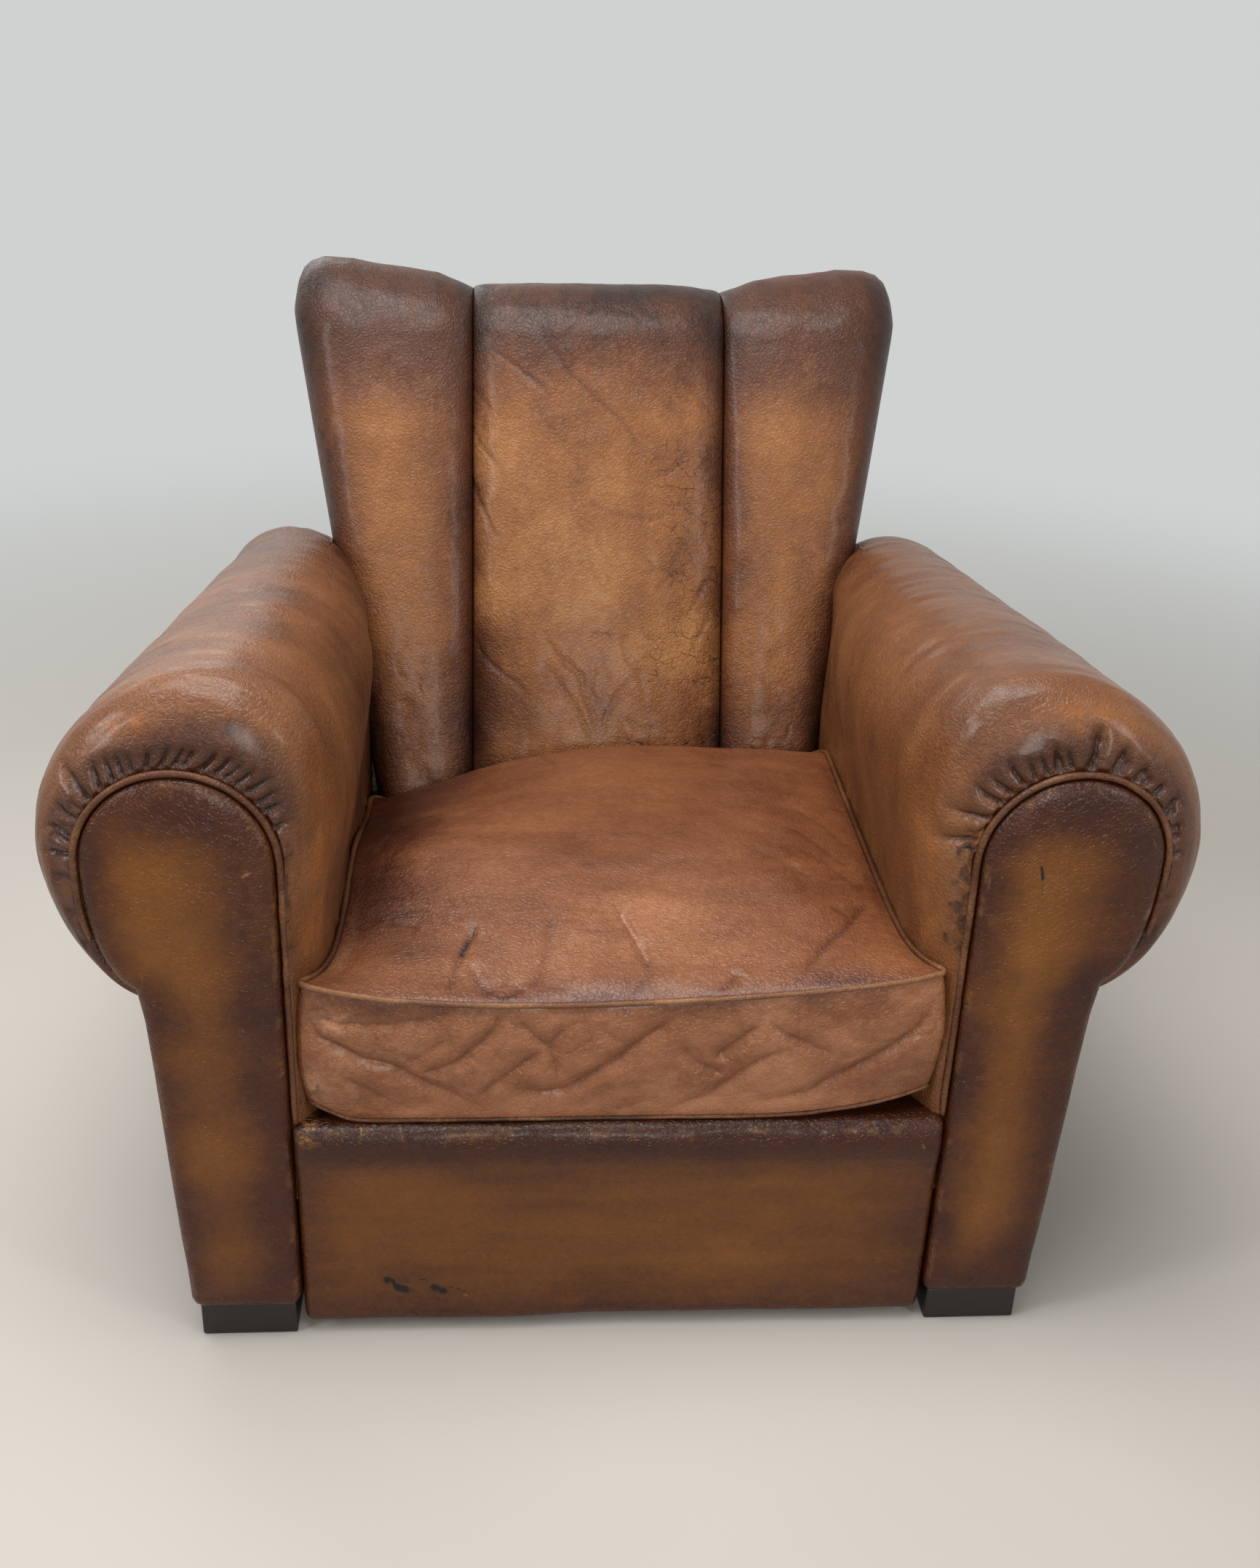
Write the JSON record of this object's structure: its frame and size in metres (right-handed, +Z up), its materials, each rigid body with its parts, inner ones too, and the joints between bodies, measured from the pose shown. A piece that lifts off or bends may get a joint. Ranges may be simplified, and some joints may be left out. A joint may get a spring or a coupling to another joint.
{
  "type": "worn leather club chair",
  "caption": "Low upholstered armchair with rolled arms gathered at their fronts, a flared channelled back, a deep apron and a loose seat cushion.",
  "frame": {"origin": "centre of the overall plan box, on the floor", "axes": "+X to the right as seen from the front, +Y towards the back, +Z up"},
  "size_m": [0.9554, 0.8298, 0.8243],
  "materials": {
    "facing_leather": "glossy hand-burnished",
    "arm_leather": "worn, satin",
    "back_leather": "worn, satin",
    "seat_leather": "worn, satin",
    "piping_leather": "rubbed edge",
    "dark_wood": "dark stained",
    "beech": "bare, sawn",
    "jute": "woven",
    "deck_cloth": "plain woven lining",
    "black_cloth": "thin woven",
    "spring_steel": "dull"
  },
  "bodies": {
    "root": {"apron": "facing_leather", "arm_pad_left": "arm_leather", "arm_pad_right": "arm_leather", "arm_rail_left": "beech", "arm_rail_right": "beech", "back_board_left": "beech", "back_board_right": "beech", "back_channel_centre": "back_leather", "back_corner_block_left": "beech", "back_corner_block_right": "beech", "back_foot_left": "dark_wood", "back_foot_right": "dark_wood", "back_hessian": "jute", "back_rail": "beech", "back_stay_rail": "beech", "back_top_rail": "beech", "back_wing_left": "back_leather", "back_wing_right": "back_leather", "cross_webbing_1": "jute", "cross_webbing_2": "jute", "cross_webbing_3": "jute", "cushion_welt_bottom": "piping_leather", "cushion_welt_top": "piping_leather", "dust_cover": "black_cloth", "facing_board_left": "beech", "facing_board_right": "beech", "facing_left": "facing_leather", "facing_piping_left": "piping_leather", "facing_piping_right": "piping_leather", "facing_right": "facing_leather", "front_arm_post_left": "beech", "front_arm_post_right": "beech", "front_corner_block_left": "beech", "front_corner_block_right": "beech", "front_edge_board": "beech", "front_foot_left": "dark_wood", "front_foot_right": "dark_wood", "front_rail": "beech", "long_webbing_1": "jute", "long_webbing_2": "jute", "long_webbing_3": "jute", "outside_arm_left": "arm_leather", "outside_arm_right": "arm_leather", "outside_back": "back_leather", "rear_arm_post_left": "beech", "rear_arm_post_right": "beech", "seat_cushion": "seat_leather", "seat_deck": "deck_cloth", "seat_hessian": "jute", "seat_spring_1": "spring_steel", "seat_spring_2": "spring_steel", "seat_spring_3": "spring_steel", "seat_spring_4": "spring_steel", "seat_spring_5": "spring_steel", "seat_spring_6": "spring_steel", "seat_spring_7": "spring_steel", "seat_spring_8": "spring_steel", "seat_spring_9": "spring_steel", "side_rail_left": "beech", "side_rail_right": "beech"}
  },
  "joints": []
}
